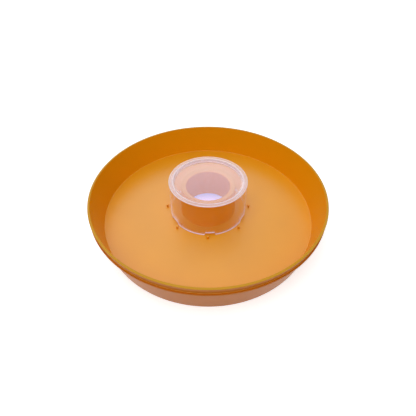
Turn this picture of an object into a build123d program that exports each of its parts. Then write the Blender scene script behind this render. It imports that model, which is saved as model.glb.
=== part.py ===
"""Round feeder: a flared dish moulded with a hollow centre chimney, and a clear
cap that stands over the chimney. Millimetres, +Z up, with the origin on the
centre line at the plane that the dish stands on."""

from build123d import *
import math
import os

# Dish: overall form
rim_diameter = 250.0
dish_height = 43.5
wall_flare = 12.3
wall_thickness = 2.2
floor_thickness = 2.0
foot_height = 7.5
floor_corner_bevel = 1.2
rim_edge_bevel = 0.4

# Dish: stop flange round the outside, under the rim, where a lid would rest
flange_drop = 7.3
flange_thickness = 1.9
flange_width = 2.0

# Dish: centre chimney, a double wall with a hollow underside
chimney_top_radius = 29.3
chimney_base_radius = 30.7
chimney_height = 34.0
chimney_wall = 1.6
chimney_hollow = 2.3
chimney_foot_bevel = 1.0
lip_width = 5.5
lip_fall = 1.6
lip_edge_bevel = 0.5
lip_thickness = 3.0

# Dish: pips that keep the cap centred
pip_count = 8
pip_radius = 1.3
pip_height = 3.6
pip_edge_bevel = 0.4
cap_clearance = 2.2

# Clear cap
cap_mouth_radius = 42.8
cap_top_radius = 42.2
cap_headroom = 2.5
cap_wall = 1.5
cap_ring_width = 5.0
cap_ring_step = 2.8
cap_step_slope = 1.7
cap_edge_bevel = 0.5

# Clear cap: notches in its lower edge, which let the feed through
notch_count = 6
notch_width = 12.0
notch_height = 3.2
notch_side_slope = 1.2
notch_turn = 3.0

# Places that follow from the sizes above
rim_radius = rim_diameter / 2
flare_per_height = math.tan(math.radians(wall_flare))
wall_across = wall_thickness / math.cos(math.radians(wall_flare))
floor_bottom = foot_height
floor_top = foot_height + floor_thickness
flange_top = dish_height - flange_drop
flange_bottom = flange_top - flange_thickness
chimney_top = floor_top + chimney_height
bore_top_radius = chimney_top_radius - lip_width
bore_bottom_radius = chimney_base_radius - 2 * chimney_wall - chimney_hollow
cap_top = chimney_top + cap_headroom + cap_wall + cap_ring_step
pip_circle_radius = cap_mouth_radius + cap_clearance + pip_radius


def wall_outside(z):
    """Radius of the dish wall's outer face at height z."""
    return rim_radius - (dish_height - z) * flare_per_height


def wall_inside(z):
    """Radius of the dish wall's inner face at height z."""
    return wall_outside(z) - wall_across


def chimney_outside(z):
    """Radius of the chimney's outer face at height z."""
    share = (z - floor_top) / chimney_height
    return chimney_base_radius + (chimney_top_radius - chimney_base_radius) * share


def bore_radius(z):
    """Radius of the chimney's bore at height z."""
    share = (z - floor_bottom) / (chimney_top - lip_fall - floor_bottom)
    return bore_bottom_radius + (bore_top_radius - bore_bottom_radius) * share


def turned(points, bevels):
    """Revolve a closed (radius, height) outline, with the corners bevelled that bevels
    names by their place in the outline."""
    outline = make_face(Polyline(*[(r, 0, z) for r, z in points], close=True))
    for place, length in bevels.items():
        r, z = points[place]
        corner = min(outline.vertices(), key=lambda v: abs(v.X - r) + abs(v.Z - z))
        outline = chamfer(corner, length)
    return revolve(outline, Axis.Z)


def dish_shell():
    """The dish with its flange, raised floor and double-walled chimney."""
    core_top = chimney_top - lip_fall - lip_thickness
    flange_radius = wall_outside(flange_bottom) + flange_width
    points = [
        (wall_inside(0), 0),
        (wall_outside(0), 0),
        (wall_outside(flange_bottom), flange_bottom),
        (flange_radius, flange_bottom),
        (flange_radius, flange_top),
        (wall_outside(flange_top), flange_top),
        (rim_radius, dish_height),
        (wall_inside(dish_height), dish_height),
        (wall_inside(floor_top), floor_top),
        (chimney_base_radius, floor_top),
        (chimney_top_radius, chimney_top),
        (bore_top_radius, chimney_top - lip_fall),
        (bore_bottom_radius, floor_bottom),
        (bore_bottom_radius + chimney_wall, floor_bottom),
        (bore_radius(core_top) + chimney_wall, core_top),
        (chimney_outside(core_top) - chimney_wall, core_top),
        (chimney_outside(floor_bottom) - chimney_wall, floor_bottom),
        (wall_inside(floor_bottom), floor_bottom),
    ]
    bevels = {
        6: rim_edge_bevel,
        7: rim_edge_bevel,
        8: floor_corner_bevel,
        9: chimney_foot_bevel,
        10: lip_edge_bevel,
        11: lip_edge_bevel,
    }
    return turned(points, bevels)


def pips():
    """Short pegs on the floor, just outside the cap's lower edge."""
    shank = Cylinder(pip_radius, pip_height, align=(Align.CENTER, Align.CENTER, Align.MIN))
    pip = chamfer(shank.edges().group_by(Axis.Z)[-1], pip_edge_bevel)
    on_floor = Pos(0, 0, floor_top)
    return [on_floor * place * pip for place in PolarLocations(pip_circle_radius, pip_count, -90)]


def feeder_dish():
    """The whole dish moulding."""
    return dish_shell() + pips()


def cap_shell():
    """The clear cap: a deep cup, mouth down, with a raised ring round its top."""
    plate_top = cap_top - cap_ring_step
    ring_inside = cap_top_radius - cap_ring_width
    plate_radius = ring_inside - cap_step_slope
    points = [
        (cap_mouth_radius - cap_wall, floor_top),
        (cap_mouth_radius, floor_top),
        (cap_top_radius, cap_top),
        (ring_inside, cap_top),
        (plate_radius, plate_top),
        (0, plate_top),
        (0, plate_top - cap_wall),
        (plate_radius + cap_wall, plate_top - cap_wall),
        (ring_inside + cap_wall, cap_top - cap_wall),
        (cap_top_radius - cap_wall, cap_top - cap_wall),
    ]
    bevels = {2: cap_edge_bevel, 3: cap_edge_bevel, 4: cap_edge_bevel}
    return turned(points, bevels)


def notch():
    """The space of one notch: a flat-topped gap with sloping sides, through the
    cap's wall at the +X side."""
    half_foot = notch_width / 2
    half_top = half_foot - notch_side_slope
    reach = 2 * cap_wall
    outline = Polyline(
        (0, -half_foot, floor_top),
        (0, half_foot, floor_top),
        (0, half_top, floor_top + notch_height),
        (0, -half_top, floor_top + notch_height),
        close=True,
    )
    wedge = extrude(make_face(outline), reach, dir=(1, 0, 0), both=True)
    return Pos(cap_mouth_radius - cap_wall / 2, 0, 0) * wedge


def clear_cap():
    """The clear cap with its notched lower edge."""
    first_notch = notch_turn - 90
    turns = [first_notch + place * 360 / notch_count for place in range(notch_count)]
    return cap_shell() - [Rot(0, 0, turn) * notch() for turn in turns]


os.makedirs("parts", exist_ok=True)
export_step(feeder_dish(), "parts/feeder_dish.step")
export_step(clear_cap(), "parts/clear_cap.step")
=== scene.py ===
"""Looks of the round feeder: an orange moulded dish with a centre chimney under a clear cap.
Metres, +Z up, with the origin on the centre line at the plane that the dish stands on."""

import math

import bpy
from mathutils import Matrix, Vector


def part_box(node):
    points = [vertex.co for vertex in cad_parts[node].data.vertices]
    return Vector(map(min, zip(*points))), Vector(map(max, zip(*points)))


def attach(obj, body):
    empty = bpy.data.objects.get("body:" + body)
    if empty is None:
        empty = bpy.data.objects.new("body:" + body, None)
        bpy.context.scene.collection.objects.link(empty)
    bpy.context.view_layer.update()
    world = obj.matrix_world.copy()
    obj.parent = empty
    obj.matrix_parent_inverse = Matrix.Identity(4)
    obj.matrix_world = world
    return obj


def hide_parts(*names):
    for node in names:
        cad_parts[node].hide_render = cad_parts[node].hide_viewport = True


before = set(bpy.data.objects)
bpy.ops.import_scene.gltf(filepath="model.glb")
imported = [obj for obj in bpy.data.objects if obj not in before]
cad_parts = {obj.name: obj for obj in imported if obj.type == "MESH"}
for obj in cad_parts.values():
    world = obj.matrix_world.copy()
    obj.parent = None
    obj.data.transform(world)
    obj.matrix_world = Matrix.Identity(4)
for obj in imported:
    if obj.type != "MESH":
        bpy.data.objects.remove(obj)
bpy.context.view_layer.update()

MM = 0.001
TURN = 2 * math.pi
WHITE = (1, 1, 1, 1)

# Camera, from a perspective fit to the photograph: the focal length and the optical
# centre are in pixels of its 416 by 416 frame
FRAME_SIZE = 416
FOCAL_LENGTH = 300.0
OPTICAL_CENTRE = (208.1, 184.2)
CAMERA_DISTANCE = 324.0 * MM
CAMERA_ELEVATION = 40.24
CAMERA_ROLL = 0.224
SENSOR = 36.0
NEAR_CLIP = 10.0 * MM

# Places read from the frame
DISH_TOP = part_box("feeder_dish")[1].z
CAP_LOW, CAP_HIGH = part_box("clear_cap")
FLOOR_TOP = CAP_LOW.z
CAP_TOP = CAP_HIGH.z

# Dish, as in the solid
RIM_RADIUS = 125.0 * MM
FLARE_ANGLE = math.radians(12.3)
WALL_FLARE = math.tan(FLARE_ANGLE)
WALL_ACROSS = 2.2 * MM / math.cos(FLARE_ANGLE)
FLOOR_BOTTOM = FLOOR_TOP - 2.0 * MM
FLANGE_TOP = DISH_TOP - 7.3 * MM
FLANGE_BOTTOM = FLANGE_TOP - 1.9 * MM
FLANGE_WIDTH = 2.0 * MM
CHIMNEY_TOP_RADIUS = 29.3 * MM
CHIMNEY_BASE_RADIUS = 30.7 * MM
CHIMNEY_TOP = FLOOR_TOP + 34.0 * MM
CHIMNEY_WALL = 1.6 * MM
BORE_TOP_RADIUS = 23.8 * MM
BORE_BASE_RADIUS = 25.2 * MM
LIP_FALL = 1.6 * MM
LIP_THICKNESS = 3.0 * MM
PIP_COUNT = 8
PIP_RADIUS = 1.3 * MM
PIP_HEIGHT = 3.6 * MM
PIP_CIRCLE = 46.3 * MM
PIP_ROOT = 0.5 * MM

# Cap, as in the solid, standing a hair above the floor
CAP_BOTTOM = FLOOR_TOP + 0.05 * MM
CAP_MOUTH_RADIUS = CAP_HIGH.x
CAP_TOP_RADIUS = 42.2 * MM
CAP_WALL = 1.5 * MM
RING_INSIDE = CAP_TOP_RADIUS - 5.0 * MM
PLATE_RADIUS = RING_INSIDE - 1.7 * MM
PLATE_TOP = CAP_TOP - 2.8 * MM

# Notches: the cap's lower edge is raised at each, and the raise fades out up the wall
NOTCH_COUNT = 6
NOTCH_TURN = math.radians(3.0)
NOTCH_HALF_WIDTH = 6.0 * MM
NOTCH_SLOPE = 1.2 * MM
NOTCH_HEIGHT = 3.2 * MM
NOTCH_REACH = 9.0 * MM

# Steps round the centre line, and round a pip's own
DISH_STEPS = 360
CAP_STEPS = 720
PIP_STEPS = 32

# How much large faces outweigh narrow ones in smooth shading, out of 100
LARGE_FACE_WEIGHT = 100

# Colours of the orange plastic: two for its clouds, and one for each part with painted light or
# shade: painted bounce light on inward faces, painted shade on outward faces, painted light on the
# chimney, painted shade on the flange under the rim, painted light along the flange's lower edge and
# the rim's top, and painted light in the bore
ORANGE_DEEP = (0.755, 0.318, 0.0010, 1)
ORANGE_PALE = (0.790, 0.338, 0.0016, 1)
ORANGE_PAINTED_BOUNCE_LIGHT = (0.83, 0.320, 0.0, 1)
ORANGE_PAINTED_OUTSIDE_SHADE = (0.66, 0.230, 0.012, 1)
ORANGE_PAINTED_CHIMNEY_LIGHT = (0.90, 0.365, 0.0, 1)
ORANGE_PAINTED_FLANGE_SHADE = (0.58, 0.155, 0.0, 1)
ORANGE_PAINTED_EDGE_LIGHT = (0.64, 0.290, 0.0, 1)
ORANGE_PAINTED_RIM_LIGHT = (0.61, 0.300, 0.020, 1)
ORANGE_PAINTED_BORE_LIGHT = (0.97, 0.270, 0.010, 1)

# Where each patch of painted light or shade fades in, from none to full. The chimney's and the bore's
# go by distance from the centre line, the flange's by distance beyond the wall, and the others by
# height
PAINTED_CHIMNEY_LIGHT_FADE = (60.0 * MM, 50.0 * MM)
PAINTED_BORE_LIGHT_FADE = (28.0 * MM, 26.0 * MM)
FLANGE_FADE = (0.2 * MM, 0.6 * MM)
PAINTED_EDGE_LIGHT_FADE = (FLANGE_BOTTOM + 0.9 * MM, FLANGE_BOTTOM + 0.5 * MM)
RIM_FADE = (DISH_TOP - 0.4 * MM, DISH_TOP - 0.1 * MM)

# Finish of the orange plastic. How far a face is turned in or out goes from 0 for level to
# 1 for upright, and its look changes from the first value here to the second
UPRIGHT_START = 0.3
UPRIGHT_END = 0.9
LEVEL_SHEEN = 0.85
UPRIGHT_SHEEN = 0.12
CLOUD_SCALE = 22.0
CLOUD_RANGE = (0.3, 0.7)
GRAIN_SCALE = 120.0
DISH_ROUGHNESS = (0.32, 0.38)
RIPPLE_STRENGTH = 0.02
RIPPLE_DEPTH = 0.1 * MM
PLASTIC_IOR = 1.5

# Clear plastic: the share of milky white in each layer, and how much light the white passes on. The
# white on the edges is painted light, as if carried along the plastic's edges
WALL_MILK = 0.003
PLATE_MILK = 0.13
RING_MILK = 0.38
EDGE_PAINTED_LIGHT = 0.92
MILK_COLOUR = (0.95, 0.92, 1.0, 1)
MILK_THROUGH = 0.5
MILK_UNEVENNESS = (0.9, 1.1)

# Where the milk changes on the cap's top: at the edge of the plate, and at the bands of white painted
# light along the ring's two edges
PLATE_MARGIN = 0.6 * MM
BAND_START = 0.3 * MM
INNER_BAND = 1.0 * MM
OUTER_BAND = 0.8 * MM
BAND_FADE = 0.5 * MM

# Finish of the clear plastic. By how far it is turned in or out, a face counts as wall above
# the first value here, and as level below the second
WALL_FADE = (0.97, 0.90)
CLEAR_COLOUR = (0.985, 0.950, 1.0, 1)
CAP_GRAIN_SCALE = 260.0
CAP_ROUGHNESS = (0.14, 0.20)
MIRROR_POWER = 2.5
MIRROR_SHARE = (0.02, 0.9)

# Table and surroundings. Under the chimney the table shows painted shade, a dimmer lavender glow as
# if in the dish's shadow and lit through the bore, fading in towards the centre line
TABLE_HALF = 6.0
TABLE_COLOUR = (0.9, 0.9, 0.9, 1)
TABLE_BOUNCE = (0.70, 0.52, 0.86, 1)
TABLE_GLOW = (0.55, 0.55, 0.55, 1)
TABLE_PAINTED_SHADE_UNDER = (0.32, 0.37, 0.74, 1)
PAINTED_SHADE_UNDER_FADE = (80.0 * MM, 50.0 * MM)
SKY_LIGHT = 0.35
SKY_SEEN = 1.0


def arc(corner, before, after, radius, step=math.radians(15)):
    """Points of a round of that radius on a corner between two straight runs."""
    to_before = (before - corner).normalized()
    to_after = (after - corner).normalized()
    half = to_before.angle(to_after) / 2
    centre = corner + (to_before + to_after).normalized() * (radius / math.sin(half))
    start = corner + to_before * (radius / math.tan(half)) - centre
    end = corner + to_after * (radius / math.tan(half)) - centre
    sweep = -start.angle_signed(end)
    count = max(2, round(abs(sweep) / step))
    turns = [Matrix.Rotation(sweep * place / count, 2) for place in range(count + 1)]
    return [centre + turn @ start for turn in turns]


def rounded(corners):
    """Closed outline of (radius, height) points from corners given as (radius, height, round)."""
    places = [Vector((r, z)) for r, z, _ in corners]
    points = []
    for place, (_, _, radius) in enumerate(corners):
        if radius:
            following = places[(place + 1) % len(places)]
            points += arc(places[place], places[place - 1], following, radius)
        else:
            points.append(places[place])
    return points


def spun(outline, steps, lift=None):
    """Vertices and faces of an outline turned round the Z axis in so many steps. lift gives
    how far a point is raised, from its height and its angle."""
    verts = []
    faces = []
    columns = []
    for turn in range(steps):
        angle = TURN * turn / steps
        column = []
        for place, (r, z) in enumerate(outline):
            if r == 0 and turn:
                column.append(columns[0][place])
                continue
            column.append(len(verts))
            raised = z + lift(z, angle) if lift else z
            verts.append((r * math.cos(angle), r * math.sin(angle), raised))
        columns.append(column)
    for turn in range(steps):
        here = columns[turn]
        there = columns[(turn + 1) % steps]
        for place in range(len(outline)):
            following = (place + 1) % len(outline)
            corners = (here[place], there[place], there[following], here[following])
            face = tuple(dict.fromkeys(corners))
            if len(face) > 2:
                faces.append(face)
    return verts, faces


def make_piece(name, shells, material, node):
    """One smooth mesh piece from closed shells, which stands for a node of the solids."""
    verts = []
    faces = []
    for shell_verts, shell_faces in shells:
        first = len(verts)
        verts += shell_verts
        faces += [tuple(first + corner for corner in face) for face in shell_faces]
    mesh = bpy.data.meshes.new(name)
    mesh.from_pydata(verts, [], faces)
    mesh.validate()
    mesh.shade_smooth()
    mesh.materials.append(material)
    piece = bpy.data.objects.new(name, mesh)
    bpy.context.scene.collection.objects.link(piece)
    weighted = piece.modifiers.new("flat_faces_first", "WEIGHTED_NORMAL")
    weighted.weight = LARGE_FACE_WEIGHT
    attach(piece, "root")
    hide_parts(node)


def wall_outside(z):
    """Radius of the dish wall's outer face at height z."""
    return RIM_RADIUS - (DISH_TOP - z) * WALL_FLARE


def wall_inside(z):
    """Radius of the dish wall's inner face at height z."""
    return wall_outside(z) - WALL_ACROSS


def chimney_outside(z):
    """Radius of the chimney's outer face at height z."""
    share = (z - FLOOR_TOP) / (CHIMNEY_TOP - FLOOR_TOP)
    return CHIMNEY_BASE_RADIUS + (CHIMNEY_TOP_RADIUS - CHIMNEY_BASE_RADIUS) * share


def bore_radius(z):
    """Radius of the chimney's bore at height z."""
    share = (z - FLOOR_BOTTOM) / (CHIMNEY_TOP - LIP_FALL - FLOOR_BOTTOM)
    return BORE_BASE_RADIUS + (BORE_TOP_RADIUS - BORE_BASE_RADIUS) * share


def cap_outside(z):
    """Radius of the cap wall's outer face at height z."""
    share = (z - FLOOR_TOP) / (CAP_TOP - FLOOR_TOP)
    return CAP_MOUTH_RADIUS + (CAP_TOP_RADIUS - CAP_MOUTH_RADIUS) * share


def dish_outline():
    """The dish's section, with its edges rounded."""
    core_top = CHIMNEY_TOP - LIP_FALL - LIP_THICKNESS
    flange_radius = wall_outside(FLANGE_BOTTOM) + FLANGE_WIDTH
    edge = 0.4 * MM
    inner_edge = 0.3 * MM
    lip_edge = 0.6 * MM
    floor_corner = 0.6 * MM
    chimney_foot = 0.5 * MM
    return rounded([
        (wall_inside(0), 0, edge),
        (wall_outside(0), 0, edge),
        (wall_outside(FLANGE_BOTTOM), FLANGE_BOTTOM, inner_edge),
        (flange_radius, FLANGE_BOTTOM, edge),
        (flange_radius, FLANGE_TOP, edge),
        (wall_outside(FLANGE_TOP), FLANGE_TOP, inner_edge),
        (RIM_RADIUS, DISH_TOP, edge),
        (wall_inside(DISH_TOP), DISH_TOP, edge),
        (wall_inside(FLOOR_TOP), FLOOR_TOP, floor_corner),
        (CHIMNEY_BASE_RADIUS, FLOOR_TOP, chimney_foot),
        (CHIMNEY_TOP_RADIUS, CHIMNEY_TOP, lip_edge),
        (BORE_TOP_RADIUS, CHIMNEY_TOP - LIP_FALL, lip_edge),
        (BORE_BASE_RADIUS, FLOOR_BOTTOM, inner_edge),
        (BORE_BASE_RADIUS + CHIMNEY_WALL, FLOOR_BOTTOM, inner_edge),
        (bore_radius(core_top) + CHIMNEY_WALL, core_top, inner_edge),
        (chimney_outside(core_top) - CHIMNEY_WALL, core_top, inner_edge),
        (chimney_outside(FLOOR_BOTTOM) - CHIMNEY_WALL, FLOOR_BOTTOM, inner_edge),
        (wall_inside(FLOOR_BOTTOM), FLOOR_BOTTOM, inner_edge),
    ])


def pip_shell(angle):
    """A short round-edged peg, rooted in the floor."""
    edge = 0.4 * MM
    root = FLOOR_TOP - PIP_ROOT
    top = FLOOR_TOP + PIP_HEIGHT
    outline = rounded([(0, root, 0), (PIP_RADIUS, root, 0), (PIP_RADIUS, top, edge), (0, top, 0)])
    verts, faces = spun(outline, PIP_STEPS)
    x = PIP_CIRCLE * math.cos(angle)
    y = PIP_CIRCLE * math.sin(angle)
    return [(vx + x, vy + y, vz) for vx, vy, vz in verts], faces


def make_dish(material):
    """The whole dish moulding."""
    shells = [spun(dish_outline(), DISH_STEPS)]
    for place in range(PIP_COUNT):
        shells.append(pip_shell(TURN * place / PIP_COUNT))
    make_piece("dish_moulding", shells, material, "feeder_dish")


def notch_lift(z, angle):
    """How far the cap's lower edge is raised at that angle, fading out up the wall."""
    pitch = TURN / NOTCH_COUNT
    from_front = angle + TURN / 4 - NOTCH_TURN
    aside = abs((from_front + pitch / 2) % pitch - pitch / 2) * CAP_MOUTH_RADIUS
    share = min(max((NOTCH_HALF_WIDTH - aside) / NOTCH_SLOPE, 0), 1)
    smooth = share * share * (3 - 2 * share)
    fade = min(max(1 - (z - CAP_BOTTOM) / NOTCH_REACH, 0), 1)
    return NOTCH_HEIGHT * smooth * fade


def cap_outline():
    """The cap's section, mouth down, with its edges rounded."""
    edge = 0.5 * MM
    low_edge = 0.6 * MM
    above_notch = CAP_BOTTOM + NOTCH_REACH
    return rounded([
        (cap_outside(CAP_BOTTOM) - CAP_WALL, CAP_BOTTOM, low_edge),
        (cap_outside(CAP_BOTTOM), CAP_BOTTOM, low_edge),
        (cap_outside(above_notch), above_notch, 0),
        (CAP_TOP_RADIUS, CAP_TOP, edge),
        (RING_INSIDE, CAP_TOP, edge),
        (PLATE_RADIUS, PLATE_TOP, edge),
        (0, PLATE_TOP, 0),
        (0, PLATE_TOP - CAP_WALL, 0),
        (PLATE_RADIUS + CAP_WALL, PLATE_TOP - CAP_WALL, edge),
        (RING_INSIDE + CAP_WALL, CAP_TOP - CAP_WALL, edge),
        (CAP_TOP_RADIUS - CAP_WALL, CAP_TOP - CAP_WALL, edge),
        (cap_outside(above_notch) - CAP_WALL, above_notch, 0),
    ])


def make_cap(material):
    """The clear cap with its notched lower edge."""
    shells = [spun(cap_outline(), CAP_STEPS, notch_lift)]
    make_piece("clear_cap_shell", shells, material, "clear_cap")


def node_adder(tree):
    """A function that adds nodes to the tree, with their inputs set or linked."""

    def add(kind, inputs=None, **settings):
        node = tree.nodes.new("ShaderNode" + kind)
        for key, value in settings.items():
            setattr(node, key, value)
        for key, value in (inputs or {}).items():
            if isinstance(value, bpy.types.NodeSocket):
                tree.links.new(value, node.inputs[key])
            else:
                node.inputs[key].default_value = value
        return node

    return add


def new_material(name):
    """A node material without nodes as yet, and the function that adds nodes to it."""
    material = bpy.data.materials.new(name)
    material.use_nodes = True
    material.node_tree.nodes.clear()
    return material, node_adder(material.node_tree)


def finish_material(material, add, shader):
    """Link the shader to the material's output."""
    output = add("OutputMaterial")
    material.node_tree.links.new(shader, output.inputs["Surface"])
    return material


def ramp(add, value, start, end, low=0.0, high=1.0):
    """The value carried over in a straight line from start..end to low..high, and held there."""
    spans = {"Value": value, "From Min": start, "From Max": end, "To Min": low, "To Max": high}
    return add("MapRange", spans).outputs["Result"]


def maths(add, operation, first, second=0.0):
    """The result of one sum."""
    return add("Math", {0: first, 1: second}, operation=operation).outputs["Value"]


def blend(add, share, first, second):
    """A colour between two others."""
    return add("MixRGB", {0: share, 1: first, 2: second}).outputs["Color"]


def turned_places(add):
    """Place, height, distance from the centre line, and how far a face turns outward, from
    -1 for inward to 1 for outward."""
    place = add("TexCoord").outputs["Object"]
    flat = add("VectorMath", {0: place, 1: (1, 1, 0)}, operation="MULTIPLY").outputs["Vector"]
    radius = add("VectorMath", {0: flat}, operation="LENGTH").outputs["Value"]
    outward = add("VectorMath", {0: flat}, operation="NORMALIZE").outputs["Vector"]
    normal = add("NewGeometry").outputs["Normal"]
    facing = add("VectorMath", {0: normal, 1: outward}, operation="DOT_PRODUCT").outputs["Value"]
    height = add("SeparateXYZ", {"Vector": place}).outputs["Z"]
    return place, height, radius, facing


def seen_or_mirrored(add):
    """1 for what the camera sees, straight, in a reflection or through glass, and else 0."""
    path = add("LightPath").outputs
    glassy = maths(add, "MAXIMUM", path["Is Glossy Ray"], path["Is Transmission Ray"])
    return maths(add, "MAXIMUM", path["Is Camera Ray"], glassy)


def orange_plastic():
    """Orange plastic with the faint unevenness of a moulding. Light and shade are painted into its
    colour:
    painted bounce light on inward faces, painted shade on outward faces and on the flange under the
    rim, and painted light on the chimney, in the bore, along the flange's lower edge and along the
    rim's top. Level faces show the most sheen."""
    material, add = new_material("orange_plastic")
    place, height, radius, facing = turned_places(add)
    cloud = add("TexNoise", {"Vector": place, "Scale": CLOUD_SCALE, "Detail": 3.0}).outputs["Fac"]
    cloud = ramp(add, cloud, *CLOUD_RANGE)

    # Upright faces get painted light and shade by whether they are turned inward or outward: painted
    # bounce light on inward faces, painted shade on outward faces, and brighter painted light on the
    # chimney's outer face and in the bore
    inward = ramp(add, facing, -UPRIGHT_START, -UPRIGHT_END)
    outward = ramp(add, facing, UPRIGHT_START, UPRIGHT_END)
    # Painted light on the chimney's outer face and in the bore, fading out from the centre line
    chimney = maths(add, "MULTIPLY", outward, ramp(add, radius, *PAINTED_CHIMNEY_LIGHT_FADE))
    painted_bore_light = maths(add, "MULTIPLY", inward, ramp(add, radius, *PAINTED_BORE_LIGHT_FADE))
    colour_with_painted_light = blend(add, cloud, ORANGE_DEEP, ORANGE_PALE)
    colour_with_painted_light = blend(add, inward, colour_with_painted_light, ORANGE_PAINTED_BOUNCE_LIGHT)
    colour_with_painted_light = blend(add, outward, colour_with_painted_light, ORANGE_PAINTED_OUTSIDE_SHADE)
    colour_with_painted_light = blend(add, chimney, colour_with_painted_light, ORANGE_PAINTED_CHIMNEY_LIGHT)
    colour_with_painted_light = blend(add, painted_bore_light, colour_with_painted_light, ORANGE_PAINTED_BORE_LIGHT)

    # Only the flange lies beyond the wall's outer face
    flare = maths(add, "MULTIPLY", height, WALL_FLARE)
    from_axis = maths(add, "SUBTRACT", radius, flare)
    beyond = maths(add, "SUBTRACT", from_axis, wall_outside(0))
    on_flange = ramp(add, beyond, *FLANGE_FADE)
    # Painted shade on the flange, in the crease under the rim
    colour_with_painted_light = blend(add, on_flange, colour_with_painted_light, ORANGE_PAINTED_FLANGE_SHADE)
    # Painted light along the flange's lower edge
    low_edge = maths(add, "MULTIPLY", on_flange, ramp(add, height, *PAINTED_EDGE_LIGHT_FADE))
    colour_with_painted_light = blend(add, low_edge, colour_with_painted_light, ORANGE_PAINTED_EDGE_LIGHT)
    # Painted light along the rim's top
    on_rim = ramp(add, height, *RIM_FADE)
    colour_with_painted_light = blend(add, on_rim, colour_with_painted_light, ORANGE_PAINTED_RIM_LIGHT)

    # The flange and the rim show as little sheen as upright faces
    upright = maths(add, "MAXIMUM", inward, outward)
    quiet = maths(add, "MAXIMUM", upright, maths(add, "MAXIMUM", on_flange, on_rim))

    grain = add("TexNoise", {"Vector": place, "Scale": GRAIN_SCALE, "Detail": 2.0}).outputs["Fac"]
    ripple = add("Bump", {"Height": grain, "Strength": RIPPLE_STRENGTH, "Distance": RIPPLE_DEPTH})
    surface = add(
        "BsdfPrincipled",
        {
            "Base Color": colour_with_painted_light,
            "Roughness": ramp(add, grain, 0.0, 1.0, *DISH_ROUGHNESS),
            "Normal": ripple.outputs["Normal"],
            "IOR": PLASTIC_IOR,
            "Specular IOR Level": ramp(add, quiet, 0.0, 1.0, LEVEL_SHEEN, UPRIGHT_SHEEN),
        },
    )
    return finish_material(material, add, surface.outputs["BSDF"])


def clear_plastic():
    """Clear thin-walled plastic: milky over its flat top, with white painted light along its edges.
    """
    material, add = new_material("clear_plastic")
    place, height, radius, facing = turned_places(add)
    level = ramp(add, maths(add, "ABSOLUTE", facing), *WALL_FADE)

    # How milky the top is, from the centre line out to its edge, with bands of white painted light
    # along the ring's two edges
    top_white = add("ValToRGB", {"Fac": ramp(add, radius, 0.0, CAP_TOP_RADIUS)})
    stops = [
        (0.0, PLATE_MILK),
        (PLATE_RADIUS - PLATE_MARGIN, PLATE_MILK),
        (RING_INSIDE - BAND_START, RING_MILK),
        (RING_INSIDE, EDGE_PAINTED_LIGHT),
        (RING_INSIDE + INNER_BAND, EDGE_PAINTED_LIGHT),
        (RING_INSIDE + INNER_BAND + BAND_FADE, RING_MILK),
        (CAP_TOP_RADIUS - OUTER_BAND - BAND_FADE, RING_MILK),
        (CAP_TOP_RADIUS - OUTER_BAND, EDGE_PAINTED_LIGHT),
    ]
    elements = top_white.color_ramp.elements
    halfway = 0.5
    while len(elements) < len(stops):
        elements.new(halfway)
    for element, (distance, milk) in zip(elements, stops):
        element.position = distance / CAP_TOP_RADIUS
        element.color = (milk, milk, milk, 1)

    # The lower edge and the notches' faces get white painted light, and upright walls are clear
    high = maths(add, "GREATER_THAN", height, (FLOOR_TOP + CAP_TOP) / 2)
    low_painted_light = (EDGE_PAINTED_LIGHT, EDGE_PAINTED_LIGHT, EDGE_PAINTED_LIGHT, 1)
    wall_milk = (WALL_MILK, WALL_MILK, WALL_MILK, 1)
    level_white = blend(add, high, low_painted_light, top_white.outputs["Color"])
    white_share = blend(add, level, wall_milk, level_white)

    grain = add("TexNoise", {"Vector": place, "Scale": CAP_GRAIN_SCALE, "Detail": 3.0}).outputs["Fac"]
    share = maths(add, "MULTIPLY", white_share, ramp(add, grain, 0.0, 1.0, *MILK_UNEVENNESS))
    clear = add("BsdfTransparent", {"Color": CLEAR_COLOUR})
    milk_front = add("BsdfDiffuse", {"Color": MILK_COLOUR})
    milk_through = add("BsdfTranslucent", {"Color": MILK_COLOUR})
    passed = ramp(add, high, 0.0, 1.0, 0.0, MILK_THROUGH)
    milk = add("MixShader", {0: passed, 1: milk_front.outputs[0], 2: milk_through.outputs[0]})
    body = add("MixShader", {0: share, 1: clear.outputs[0], 2: milk.outputs[0]})
    roughness = ramp(add, grain, 0.0, 1.0, *CAP_ROUGHNESS)
    gloss = add("BsdfGlossy", {"Color": WHITE, "Roughness": roughness})
    grazing = add("LayerWeight").outputs["Facing"]
    mirror = ramp(add, maths(add, "POWER", grazing, MIRROR_POWER), 0.0, 1.0, *MIRROR_SHARE)
    surface = add("MixShader", {0: mirror, 1: body.outputs[0], 2: gloss.outputs[0]})
    return finish_material(material, add, surface.outputs["Shader"])


def floor_material():
    """Pale matte table that shows as white, apart from the object's shadow, and with painted shade, a
    dimmer lavender, where it is seen through the chimney."""
    material, add = new_material("table")

    # matte is the table as it lights the object, and bright is the table as it is seen
    matte = add("BsdfDiffuse", {"Color": TABLE_BOUNCE})
    shown = add("BsdfDiffuse", {"Color": TABLE_COLOUR})
    _, _, radius, _ = turned_places(add)
    # Painted shade where the table is seen through the chimney
    painted_shade_under_chimney = ramp(add, radius, *PAINTED_SHADE_UNDER_FADE)
    glow = add("Emission", {"Color": blend(add, painted_shade_under_chimney, TABLE_GLOW, TABLE_PAINTED_SHADE_UNDER)})
    bright = add("AddShader", {0: shown.outputs["BSDF"], 1: glow.outputs["Emission"]})
    seen = seen_or_mirrored(add)
    mixed = add("MixShader", {0: seen, 1: matte.outputs["BSDF"], 2: bright.outputs["Shader"]})
    return finish_material(material, add, mixed.outputs["Shader"])


def make_floor():
    """A large pale floor at the plane that the dish stands on."""
    half = TABLE_HALF
    mesh = bpy.data.meshes.new("floor")
    corners = [(-half, -half, 0), (half, -half, 0), (half, half, 0), (-half, half, 0)]
    mesh.from_pydata(corners, [], [(0, 1, 2, 3)])
    floor = bpy.data.objects.new("floor", mesh)
    bpy.context.scene.collection.objects.link(floor)
    floor.data.materials.append(floor_material())


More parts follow.
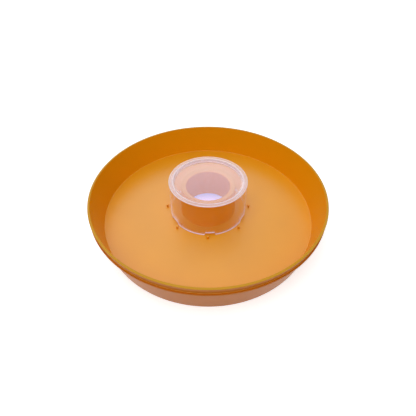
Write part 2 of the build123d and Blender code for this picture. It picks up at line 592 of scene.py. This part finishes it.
def make_world():
    """White surroundings: plain white as seen, and softer as light."""
    world = bpy.data.worlds.new("surroundings")
    bpy.context.scene.world = world
    world.use_nodes = True
    world.node_tree.nodes.clear()
    add = node_adder(world.node_tree)
    strength = ramp(add, seen_or_mirrored(add), 0.0, 1.0, SKY_LIGHT, SKY_SEEN)
    back = add("Background", {"Color": WHITE, "Strength": strength})
    output = add("OutputWorld")
    world.node_tree.links.new(back.outputs["Background"], output.inputs["Surface"])


def make_softbox(name, place, size, radiance):
    """A square soft light that faces the dish, with its brightness given as radiance."""
    data = bpy.data.lights.new(name, "AREA")
    data.shape = "SQUARE"
    data.size = size
    data.energy = radiance * math.pi * size * size
    lamp = bpy.data.objects.new(name, data)
    bpy.context.scene.collection.objects.link(lamp)
    lamp.location = place
    aim = Vector((0, 0, DISH_TOP)) - Vector(place)
    lamp.rotation_mode = "QUATERNION"
    lamp.rotation_quaternion = aim.to_track_quat("-Z", "Y")


def make_camera():
    """The photograph's camera, aimed at the centre of the rim."""
    elevation = math.radians(CAMERA_ELEVATION)
    roll = math.radians(CAMERA_ROLL)
    back = Vector((0, -math.cos(elevation), math.sin(elevation)))
    level_right = Vector((1, 0, 0))
    level_up = back.cross(level_right)
    right = level_right * math.cos(roll) + level_up * math.sin(roll)
    up = level_up * math.cos(roll) - level_right * math.sin(roll)
    data = bpy.data.cameras.new("camera")
    data.sensor_width = SENSOR
    data.lens = FOCAL_LENGTH / FRAME_SIZE * SENSOR
    data.shift_x = (FRAME_SIZE / 2 - OPTICAL_CENTRE[0]) / FRAME_SIZE
    data.shift_y = (OPTICAL_CENTRE[1] - FRAME_SIZE / 2) / FRAME_SIZE
    data.clip_start = NEAR_CLIP
    camera = bpy.data.objects.new("camera", data)
    bpy.context.scene.collection.objects.link(camera)
    turn = Matrix((right, up, back)).transposed().to_4x4()
    place = Vector((0, 0, DISH_TOP)) + back * CAMERA_DISTANCE
    camera.matrix_world = Matrix.Translation(place) @ turn
    bpy.context.scene.camera = camera


bpy.context.scene.view_settings.view_transform = "Standard"
make_camera()
make_world()
make_floor()
make_softbox("softbox_above", place=(-0.12, -0.38, 1.08), size=1.0, radiance=2.0)
make_softbox("softbox_behind", place=(-0.9, 1.6, 1.5), size=3.0, radiance=0.75)
make_dish(orange_plastic())
make_cap(clear_plastic())
